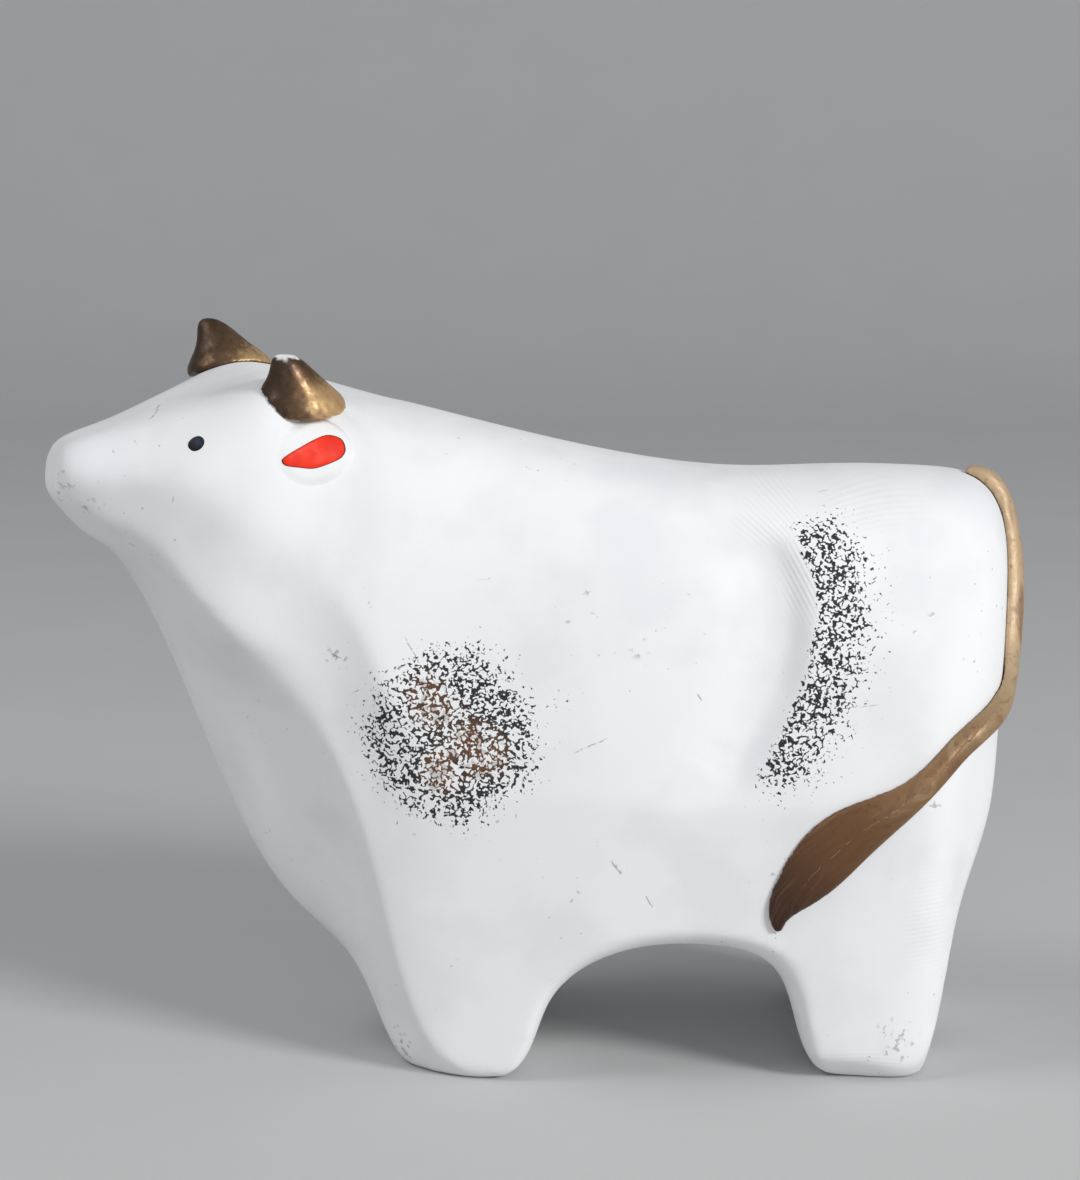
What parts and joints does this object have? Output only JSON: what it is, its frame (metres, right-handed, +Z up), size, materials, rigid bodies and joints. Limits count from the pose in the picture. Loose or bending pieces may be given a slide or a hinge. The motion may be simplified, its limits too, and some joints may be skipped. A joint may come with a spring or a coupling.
{
  "type": "cow figurine",
  "caption": "Matt white cast cow ornament with stump legs over a belly arch, head turned aside, bronze horns and tail, red ear drops and dark eyes.",
  "frame": {"origin": "on the floor under the middle of the figure, between the four feet", "axes": "-X the way the animal faces, -Y its left flank, +Z up"},
  "size_m": [0.178, 0.0712, 0.1343],
  "materials": {
    "white_plaster": "matte",
    "bronze_paint": "satin",
    "red_enamel": "satin",
    "black_enamel": "gloss"
  },
  "bodies": {
    "root": {"body": "white_plaster", "horn_left": "bronze_paint", "horn_right": "bronze_paint", "ear_left": "white_plaster", "ear_right": "white_plaster", "ear_drop_left": "red_enamel", "ear_drop_right": "red_enamel", "eye_left": "black_enamel", "eye_right": "black_enamel", "tail": "bronze_paint"}
  },
  "joints": []
}
